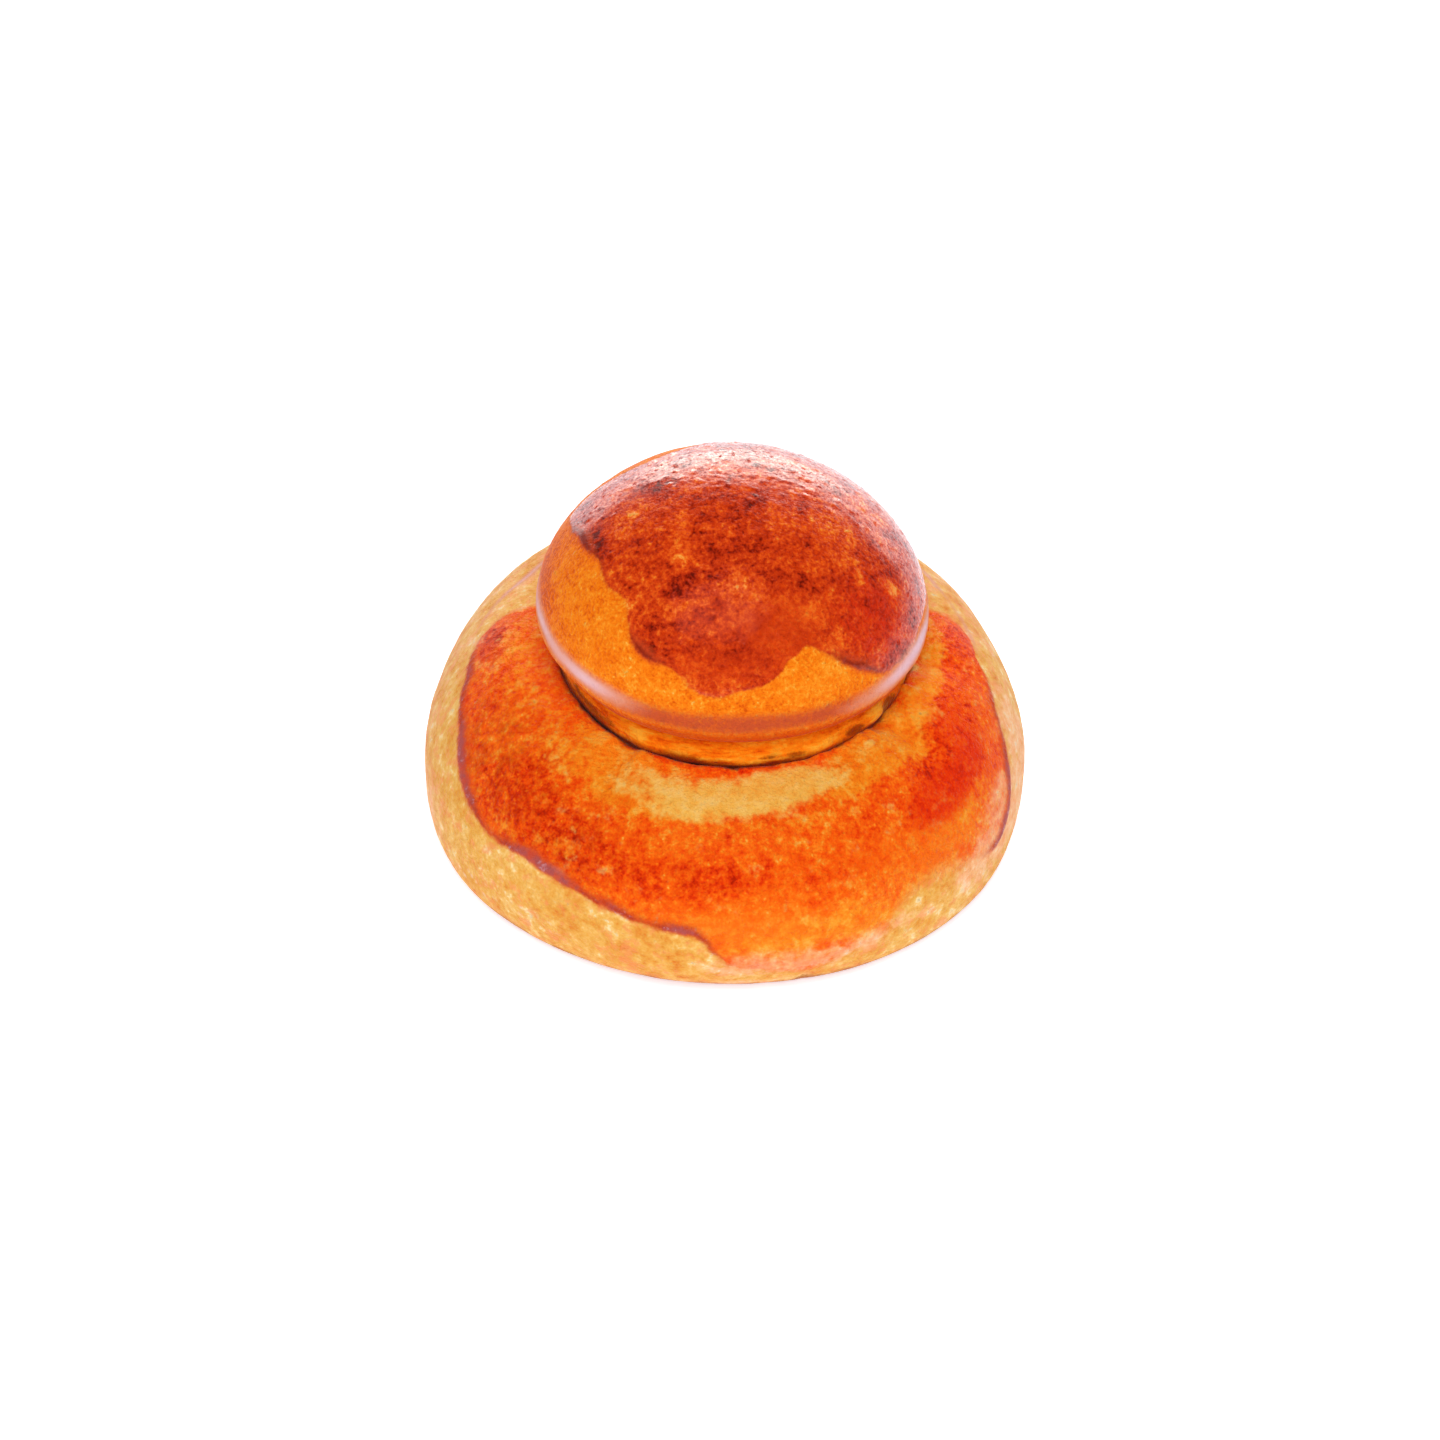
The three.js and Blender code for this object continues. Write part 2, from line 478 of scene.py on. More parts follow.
def outwardNormals(skin):
    # cross product of the steps round the bun and the steps up it
    around = np.roll(skin, -1, 1) - np.roll(skin, 1, 1)
    upwards = np.gradient(skin, axis=0)
    normals = np.cross(around, upwards)
    normals[-1] = (0.0, 0.0, 1.0)
    return normals / np.linalg.norm(normals, axis=-1, keepdims=True)


def gradientNoise(points, wavelength, seed):
    # each corner of a cubic lattice has a random direction, and the value is the smooth blend
    # of the eight corners' directions times the way to them. It runs from about -1 to 1.
    directions = 4096  # a power of two, so that the corners' keys can be cut to it
    table = np.random.default_rng(seed).normal(size=(directions, 3))
    table /= np.linalg.norm(table, axis=1, keepdims=True)
    cell = points / wavelength + 1000.0  # above 0 everywhere
    corner = np.floor(cell).astype(np.int64)
    share = cell - corner
    fade = smooth(share)
    total = np.zeros(points.shape[:-1])
    for step in itertools.product((0, 1), repeat=3):
        x, y, z = np.moveaxis(corner + step, -1, 0)
        key = (x * 73856093) ^ (y * 19349663) ^ (z * 83492791)  # large primes scatter the keys
        dot = np.sum(table[key & (directions - 1)] * (share - step), -1)
        total += np.prod(np.where(step, fade, 1 - fade), -1) * dot
    return 1.6 * total


def noiseSum(points, waves):
    return sum(size * gradientNoise(points, wavelength, seed) for wavelength, size, seed in waves)


# the egg wash. A border is a curve of directions in degrees, -90 in front, and millimetres along
# the profile from the foot.
wash = {
    "knotBorder": [
        (165, 79.9), (175, 82.2), (184, 84.3), (196, 85.9), (203, 86.6), (211, 85.6), (218, 85.0),
        (226, 84.7), (235, 79.4), (242, 78.1), (252, 76.5), (260, 73.8), (271, 74.4), (281, 75.6),
        (289, 78.5), (298, 80.3), (303, 78.4), (309, 75.2), (314, 73.1), (319, 71.2), (326, 70.3),
        (334, 70.3), (342, 71.7), (360, 71.7), (385, 73.6), (410, 71.7), (440, 77.6), (462, 88.9),
        (482, 92.2), (498, 90.0), (512, 83.4),
    ],
    "bodyBorder": [
        (158, 50.5), (164, 48.0), (168, 41.0), (172, 36.4), (178, 34.2), (185, 33.0), (192, 31.0),
        (198, 29.6), (204, 26.9), (214, 24.0), (222, 23.6), (229, 23.9), (237, 23.2), (244, 22.2),
        (251, 21.0), (257, 20.1), (262, 19.8), (266, 18.6), (268, 15.8), (271, 13.2), (276, 11.9),
        (284, 10.1), (293, 12.4), (301, 14.8), (305, 18.7), (310, 20.4), (319, 18.0), (327, 15.0),
        (332, 14.5), (337, 17.5), (344, 25.0), (349, 30.6), (355, 33.7), (362, 36.6), (369, 37.8),
        (373, 40.5), (377, 46.5), (383, 50.0), (394, 48.5), (408, 41.5), (424, 37.5), (440, 39.0),
        (460, 34.0), (480, 38.5), (494, 40.5), (508, 46.5),
    ],
    "edgeWidth": 1.2,  # mm over which the relief of plain crust passes into the wash's
    "neckDistance": -6.0,  # how far outside the wash the neck counts
    # a painted highlight along the shoulders: a thin pale line that joins the wash's borders over them
    "shoulderHighlight": [
        (0, 35.0), (5, 36.3), (13, 37.5), (21, 38.4), (28, 38.7), (35, 38.6), (43, 40.0),
        (64, 37.5), (80, 39.0), (100, 34.0), (120, 38.5), (134, 40.5), (142, 39.8), (150, 38.7),
        (157, 37.1), (164, 34.9), (170, 33.9), (178, 33.5), (270, 30.0),
    ],
    "shoulderHighlightWidth": (0.5, 0.4),  # half its width in mm, and what its strength adds to that
    # how strong it is, and the dried bead along the borders: direction, width of the stretch
    # in degrees, and strength
    "shoulderHighlightStrength": [(152, 17, 1.35), (31, 12, 1.2), (13, 12, 0.9)],
    "knotBead": [(186, 13, 1.5), (205, 20, 0.4), (240, 7, 1.1), (262, 14, 0.3), (312, 9, 1.2), (90, 60, 0.5)],
    "bodyBead": [
        (186, 10, 1.2), (204, 16, 1.5), (233, 14, 1.6), (249, 9, 1.15), (262, 7, 1.3),
        (334, 6, 1.7), (341, 7, 1.3), (350, 8, 0.8), (110, 50, 0.6), (300, 18, 0.15),
    ],
    # where the wash fades out instead of ending in a line
    "softEnds": [(317, 20, 1.0), (290, 8, 0.4), (60, 25, 0.6), (166, 5, 0.3), (14, 5, 0.3)],
}


def roundInterpolation(turn, points):
    # a curve round the bun through (direction, value) points, eased between them by cubic pieces
    # whose slopes come from the neighbours
    spots, values = np.array(points, float).T
    spots = np.concatenate([spots[-2:] - 360, spots, spots[:3] + 360])
    values = np.concatenate([values[-2:], values, values[:3]])
    at = np.degrees(turn) % 360.0
    at = np.where(at < spots[2], at + 360.0, at)
    k = np.clip(np.searchsorted(spots, at, side="right") - 1, 1, len(spots) - 3)
    share = (at - spots[k]) / (spots[k + 1] - spots[k])
    slopes = np.gradient(values, spots)
    span = spots[k + 1] - spots[k]
    square, cube = share ** 2, share ** 3
    return (
        (2 * cube - 3 * square + 1) * values[k]
        + (cube - 2 * square + share) * span * slopes[k]
        + (3 * square - 2 * cube) * values[k + 1]
        + (cube - square) * span * slopes[k + 1]
    )


def beadStrength(turn, stretches):
    # the strongest of bell curves round the bun
    curves = [top * np.exp(-(turnBetween(turn, towards) / width) ** 2) for towards, width, top in stretches]
    return np.max(curves, 0)


leastRadius = 4.0  # mm, so that a degree doesn't shrink to nothing at the crown


def borderDistance(profile, turn, border):
    # millimetres along the skin from the border, above 0 on the washed side: the distance above
    # it along the profile, divided by what its own slant adds to that
    line = roundInterpolation(turn, border)
    slant = np.gradient(line[0], turn[0]) / np.maximum(profile["radius"], leastRadius)
    return (profile["length"] - line) / np.sqrt(1 + slant ** 2)


def washField(profile, turn):
    # the body's wash up to the crease, none on the neck, and the knot's wash above
    onBody = profile["length"] < profile["creaseLength"]
    onKnot = profile["length"] > profile["foldLength"]
    body = borderDistance(profile, turn, wash["bodyBorder"])
    knot = borderDistance(profile, turn, wash["knotBorder"])
    distance = np.where(onBody, body, np.where(onKnot, knot, wash["neckDistance"]))
    bead = np.where(onBody, beadStrength(turn, wash["bodyBead"]), beadStrength(turn, wash["knotBead"]))
    return distance, bead * (onBody | onKnot)


def shoulderHighlight(profile, turn):
    # the painted highlight along the shoulders: a bell curve of the distance from its line, wider where it is
    # strong, and only on the body
    distance = borderDistance(profile, turn, wash["shoulderHighlight"])
    strength = beadStrength(turn, wash["shoulderHighlightStrength"]) * (profile["length"] < profile["creaseLength"])
    least, more = wash["shoulderHighlightWidth"]
    return strength * np.exp(-(distance / (least + more * strength)) ** 2)


def bell(profile, turn, towards, rise, halfWidth, halfLength):
    # a soft ellipse drawn on the skin, 1 at its middle: direction in degrees, millimetres along
    # the profile from the foot, and its two half sizes in mm
    along = turnBetween(turn, towards) * math.radians(1) * np.maximum(profile["radius"], leastRadius)
    away = (along / halfWidth) ** 2 + ((profile["length"] - rise) / halfLength) ** 2
    return np.exp(-away ** 1.4)  # flatter at its middle than a bell curve


def bandAt(fromCrease, band):
    # a bell curve of the distance from the band's middle along the profile
    middle, halfWidth = band
    return np.exp(-((fromCrease - middle) / halfWidth) ** 2)


def blisterRelief(skin, look, chance):
    # small domes at random points of the skin, the highest one wherever two of them meet
    random = np.random.default_rng(look["blisterSeed"])
    flat = skin.reshape(-1, 3)
    centres = flat[random.choice(len(flat), look["blisters"], p=chance.ravel() / chance.sum())]
    total = np.zeros(len(flat))
    for centre in centres:
        size = random.uniform(*look["blisterSize"])
        height = random.uniform(*look["blisterHeight"])
        away = np.sum((flat - centre) ** 2, -1) / size ** 2
        total = np.maximum(total, height * np.clip(1 - away, 0, 1) ** look["blisterRoundness"])
    return total.reshape(skin.shape[:-1])


def skinRelief(skin, profile, turn, distance, bead, look):
    # the sum of all that stands out of the smooth form, fading to nothing at the flat base
    washed = smooth(distance / wash["edgeWidth"] + 0.5)
    leathery = washed * (look["leatherOnBody"] + (1 - look["leatherOnBody"]) * profile["over"])
    total = noiseSum(skin, look["dough"])
    total = total + leathery * noiseSum(skin, look["leather"])
    total = total + (1 - washed) * noiseSum(skin, look["grain"])
    ridge = np.exp(-(distance / look["beadWidth"] - 0.5) ** 2)
    total = total + look["beadHeight"] * bead * ridge
    low, high = look["blisterZone"]
    onDome = washed * np.clip(skin[..., 2] - low, 0, high - low) * (profile["over"] > 0)
    total = total + blisterRelief(skin, look, onDome)
    fibres = gradientNoise(skin * look["fibreStretch"], *look["fibreWave"])
    total = total + look["neckFibres"] * profile["neck"] * fibres
    fromCrease = profile["length"] - profile["creaseLength"]
    around, up = look["wrinkleSpokes"]
    spokes = np.broadcast_arrays(around * np.cos(turn), around * np.sin(turn), up * skin[..., 2])
    wrinkles = gradientNoise(np.stack(spokes, -1), *look["wrinkleWave"])
    wrinkles = np.minimum(look["wrinkleTop"], wrinkles - look["wrinkleTop"])
    total = total + look["wrinkles"] * wrinkles * bandAt(fromCrease, look["wrinkleBand"])
    torn = gradientNoise(skin, *look["raggedWave"])
    total = total + look["raggedness"] * torn * bandAt(fromCrease, look["raggedBand"])
    for *place, height in look["folds"]:
        total = total + height * bell(profile, turn, *place)
    total = total - look["tuckDepth"] * bell(profile, turn, *look["tuck"])
    return total * smooth(skin[..., 2] / look["flatBelow"])


def buildBun(raised, skin, fields):
    # the base's rings and the skin's in one grid, with a fan at the middle of the base and at the
    # crown, moved so that the middle of the smooth form's box is over the origin
    columns = raised.shape[1]
    foot = raised[0] * (1.0, 1.0, 0.0)
    shares = np.linspace(0, 1, bun["baseRings"] + 1)[1:-1, None, None]
    base = foot * shares
    rings = np.concatenate([base, foot[None], raised[1:-1]])
    points = np.concatenate([np.zeros((1, 3)), rings.reshape(-1, 3), raised[-1, :1]])
    middle = (skin.max((0, 1)) + skin.min((0, 1))) / 2
    points = (points - middle * (1.0, 1.0, 0.0)) * millimetre
    column = np.arange(columns)
    after = (column + 1) % columns
    ring = 1 + np.arange(len(rings))[:, None] * columns
    below, above = ring[:-1], ring[1:]
    quads = np.stack([below + column, below + after, above + after, above + column], -1)
    bottomFan = np.stack([0 * column, 1 + after, 1 + column], -1)
    topFan = np.stack([ring[-1] + column, ring[-1] + after, 0 * column + len(points) - 1], -1)
    faces = quads.reshape(-1, 4).tolist() + bottomFan.tolist() + topFan.tolist()
    mesh = bpy.data.meshes.new("brioche_crust")
    mesh.from_pydata(points.tolist(), [], faces)
    mesh.polygons.foreach_set("use_smooth", np.ones(len(mesh.polygons), bool))
    for name, field in fields.items():
        grid = np.broadcast_to(field, raised.shape[:2])
        onBase = np.repeat(grid[:1], len(base), 0)
        values = np.concatenate([[grid[0].mean()], onBase.ravel(), grid[:-1].ravel(), grid[-1, :1]])
        mesh.attributes.new(name, "FLOAT", "POINT").data.foreach_set("value", values.astype(np.float32))
    mesh.update()
    piece = bpy.data.objects.new("brioche_crust", mesh)
    bpy.context.scene.collection.objects.link(piece)
    return piece


profile = bunProfile(bun)
turn = np.linspace(-np.pi, np.pi, bun["columns"], endpoint=False)[None, :]
skin = smoothSkin(bun, profile, turn)
distance, bead = washField(profile, turn)
normals = outwardNormals(skin)
raised = skin + normals * skinRelief(skin, profile, turn, distance, bead, relief)[..., None]
raised[-1] = raised[-1].mean(0)
print("skin worked out:", raised.shape[0], "rings of", raised.shape[1])


# where the crust differs from the rest, and where light and shade are painted on it: direction in
# degrees, millimetres along the profile from the foot, half width and half height in mm, and amount
patches = {
    "bake": [  # darker where above 0
        (175, 38.2, 2.2, 2, 1.2), (-164, 35.5, 7, 4, 0.3), (-140, 31.5, 11, 6, 0.5),
        (-122, 30, 10, 5, 0.45), (-100, 29.5, 11, 4.5, 0.4), (-84, 29, 9, 4, 0.3), (-73, 25, 5, 2.5, 0.1),
        (-82, 26, 9, 2, -0.3), (-90, 36.3, 1.1, 1.1, 0.9), (-83, 31.2, 1.2, 1.2, 0.8),
        (-73, 24, 1.3, 1.2, 0.7), (-41, 34, 8, 5, 0.5), (-24, 38, 7.5, 7, 0.6), (-30, 32, 5.5, 3.5, 0.6),
        (-3, 42.5, 6, 6, 0.4), (-60, 35.5, 5, 4, 0.2), (-80, 19.5, 19, 4.6, -1.1), (-54, 20, 11, 5, -0.9),
        (-35, 21, 8, 4, -0.6), (-40, 26.5, 7, 3, -0.35), (20, 38, 9, 6, 0.2), (60, 36, 14, 6, 0.3),
        (95, 30, 10, 6, -0.3), (130, 38, 12, 5, 0.3), (-94, 49, 10, 1.6, 0.35), (192, 74, 3.2, 2.6, 0.8),
        (-170, 85, 3, 3, 0.6), (-100, 96, 3, 3, 0.5), (-120, 82, 3, 3.5, 0.5), (-133, 76, 2.5, 2.5, 0.5),
        (-30, 79, 8, 6, 0.4), (-120, 78.5, 1.8, 1.8, 0.8), (-110, 78, 4, 4, 0.2),
        (-21, 81.3, 1.4, 2.2, -1.6), (150, 97, 9, 5, 0.3), (90, 106, 24, 10, 0.15),
        (-160, 95, 6, 4, -0.2), (-170, 86.6, 3, 2, 1.5), (-158, 88.2, 2.4, 1.6, 0.9),
        (-117, 89.4, 3, 2.4, 0.5), (178, 76.5, 5, 6, 0.9), (-165, 73.5, 6, 4, 0.5),
    ],
    "golden": [  # stretched and golden, and painted highlights on the lip's folds and the neck's lumps
        (-142, 41, 8, 5.5, 0.4), (-124, 42.5, 7, 4.5, 0.75), (-108, 42, 8, 3.5, 0.9),
        (-165, 44, 8, 6.5, 0.45), (178, 43.5, 6, 4, 0.45), (0, 45.5, 8.5, 2.4, 0.9), (-14, 45, 4, 3, 0.8),
        (-25, 45.5, 4, 3, 0.9), (-37, 42, 5, 4, 0.8), (-127, 28.6, 5, 1.8, 0.45), (-137, 26, 5, 1.6, 0.4),
        (-114, 39, 8, 2.5, 0.5), (-129, 47.2, 8, 2.4, 0.9), (-113, 47, 6, 2, 0.7), (-146, 45, 4, 3, 0.15),
        (-60, 43.5, 7, 4, 1.1), (-49, 45.5, 6, 4.5, 1.1), (-35, 47, 5, 3.5, 0.7),
        (-82, 18.5, 12, 3.5, 0.55), (-76, 15, 13, 3.2, 0.6), (-70, 21.5, 9, 3, 0.35),
        (-58, 18.5, 10, 4, 0.75), (-30, 27, 5, 2.5, 0.4), (-38, 26, 6, 2.5, 0.4), (40, 45, 10, 4, 0.6),
        # from (-119, 48) to (-108, 57.6): painted highlights on the tops of the lip's folds and the neck's
        # lumps
        (110, 44, 12, 4, 0.5), (-86, 38, 13, 2, 0.4), (-119, 48, 1, 2.2, 1.2), (-47, 47.5, 0.9, 2, 1.4),
        (-33, 48.3, 0.9, 2.2, 1.2), (-21, 48.6, 0.8, 1.6, 1.2), (-62, 57.8, 2.8, 0.9, 1.3),
        (-39, 58, 2.4, 0.9, 1.3), (-121, 57.8, 2, 1.2, 1), (-108, 57.6, 3, 1, 1.2), (-62, 75, 10, 4, 0.4),
        (-135, 76.5, 3, 6, 0.4), (-118, 74, 6, 2.5, 0.3),
    ],
    "pale": [  # palest of all, with three small painted highlights on the lip's wrinkles
        (-98, 43, 7, 3.6, 0.9), (-84, 43.2, 8.5, 3.8, 1), (-70, 43.8, 5.5, 2.8, 0.8),
        (-113, 42, 7, 3.6, 0.5), (-101, 39.6, 6, 1.8, 0.5), (-66, 45.2, 7, 2.6, 0.6),
        (-113, 45.5, 5, 2.2, 0.4), (-78, 46.5, 4, 1.8, 0.8), (-42, 11, 16, 5, 0.8),
        # (-69, 47.2), (-47, 46.5) and (-10, 48.6): painted highlights on the lip's wrinkles
        (-140, 12, 14, 6, 0.4), (-69, 47.2, 1.2, 0.9, 0.9), (-47, 46.5, 1.2, 0.7, 1.1),
        (-10, 48.6, 1, 0.9, 1.2), (75, 43.5, 9, 3, 0.5),
    ],
    "calm": [  # smoother, with less mottling
        (-72, 84, 8, 6, 1), (-96, 78, 8, 3, 0.6), (-85, 19.5, 20, 6, 1), (-45, 24, 10, 5, 0.9),
        (-60, 30, 7, 3, 0.4), (-24, 31, 6, 4, 0.7),
    ],
    "blush": [  # painted sheen: a pink haze of reflected light, most of it on plain crust
        (-166, 12, 10, 8, 0.8), (178, 22, 9, 9, 0.3), (-12, 13, 10, 9, 1.3), (156, 33, 22, 13, 0.45),
        (26, 32, 22, 13, 0.45), (-8, 25, 6, 8, 0.9), (-24, 21, 7, 4, 1), (-88, 5, 14, 3, 0.9),
        (-112, 4.5, 8, 2.5, 0.6), (-88, 12, 6, 2.5, 0.9), (-73, 12.5, 9, 2.6, 0.9),
        (-58, 14, 9, 2.5, 0.6), (-78, 13.5, 11, 3.5, 0.6), (-32, 15, 10, 5, 1.4), (90, 18, 60, 14, 0.5),
    ],
    "sparkle": [  # painted glints: small white highlight specks
        (30, 100.5, 3.4, 2.6, 1), (-146, 10, 9, 4, 0.8), (-128, 12, 9, 4.5, 0.6), (-162, 9, 7, 4, 0.6),
        (-30, 12, 10, 4, 0.4),
    ],
    "dusk": [  # painted shade on the band round the knot's widest ring, darkest in front
        (-90, 68.2, 19, 2.1, 1), (-122, 68.6, 7, 2, 0.4), (-56, 68.2, 8, 2, 0.5),
    ],
    "bloom": [  # painted highlights on the same band, and one painted highlight on the body's bead
        (-150, 69.2, 12, 1.9, 1.2), (-130, 68.8, 8, 1.9, 0.8), (-174, 70.6, 9, 1.9, 0.9),
        (-43, 67.8, 8, 1.9, 0.9), (-24, 69, 9, 2.2, 1.4), (-4, 69.4, 12, 1.7, 0.7),
        (60, 69.5, 34, 1.8, 0.6), (130, 69.5, 34, 1.8, 0.6), (-124, 24.5, 2, 0.6, 1.3),
    ],
    "red": [  # redder than brown
        (-34, 80, 9, 8, 0.7), (-39, 32, 7.5, 4.5, 1.4), (-27, 33, 5, 3, 0.7), (-24, 38, 6, 6, 0.6),
        (-75, 29, 14, 4, 0.3), (-128, 29, 8, 3, 0.4), (-95, 72.5, 6, 1.2, 0.4),
    ],
    "brown": [  # browner than red
        (-150, 33, 14, 9, 1), (-125, 29.5, 12, 6, 0.8), (176, 36, 8, 8, 0.7), (-100, 29, 12, 4, 0.3),
        (60, 34, 20, 7, 0.6), (120, 34, 20, 7, 0.6),
    ],
    "torn": [  # painted shade in patches on both sides of the crease
        (-31, 57, 2.6, 1.3, 1.2), (-48, 57.2, 2.2, 0.9, 1.1), (-54, 50, 3, 1.2, 0.9),
        (-19, 49.8, 2.2, 1.2, 0.9), (-70, 57, 2.4, 0.7, 0.9), (-79, 57.4, 1.6, 0.5, 0.8),
        (-138, 57, 4, 1.1, 0.9), (-150, 57.4, 3, 1, 0.8), (-129, 50.2, 4, 1, 0.8),
        (-88, 49.4, 8, 0.7, 0.6), (-10, 49.6, 2, 1.2, 0.7), (70, 57.2, 5, 1.1, 0.8),
        (140, 50.2, 5, 1, 0.7), (105, 57, 4, 1, 0.6), (15, 57.2, 3, 1, 0.7),
    ],
}


def patchField(profile, turn, spots):
    # the sum of the ellipses, each times its amount
    return sum(amount * bell(profile, turn, *ellipse) for *ellipse, amount in spots)


# the fields that the crust's colours follow, each given at every point of the skin
fields = {name: patchField(profile, turn, spots) for name, spots in patches.items()}
# the painted highlight along the shoulders goes in with the other painted highlights
fields["bloom"] = fields["bloom"] + shoulderHighlight(profile, turn)
fields["washEdge"] = distance
fields["bead"] = bead
fields["soften"] = beadStrength(turn, wash["softEnds"]) * (profile["over"] == 0)
fields["fromCrease"] = profile["length"] - profile["creaseLength"]
fields["neck"] = profile["neck"]
fields["onKnot"] = smooth((profile["length"] - profile["foldLength"]) / 2.0 + 0.5)
fields["height"] = raised[..., 2]
piece = buildBun(raised, skin, fields)
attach(piece, "root")
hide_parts("bun")
print("bun built:", len(piece.data.polygons), "faces")


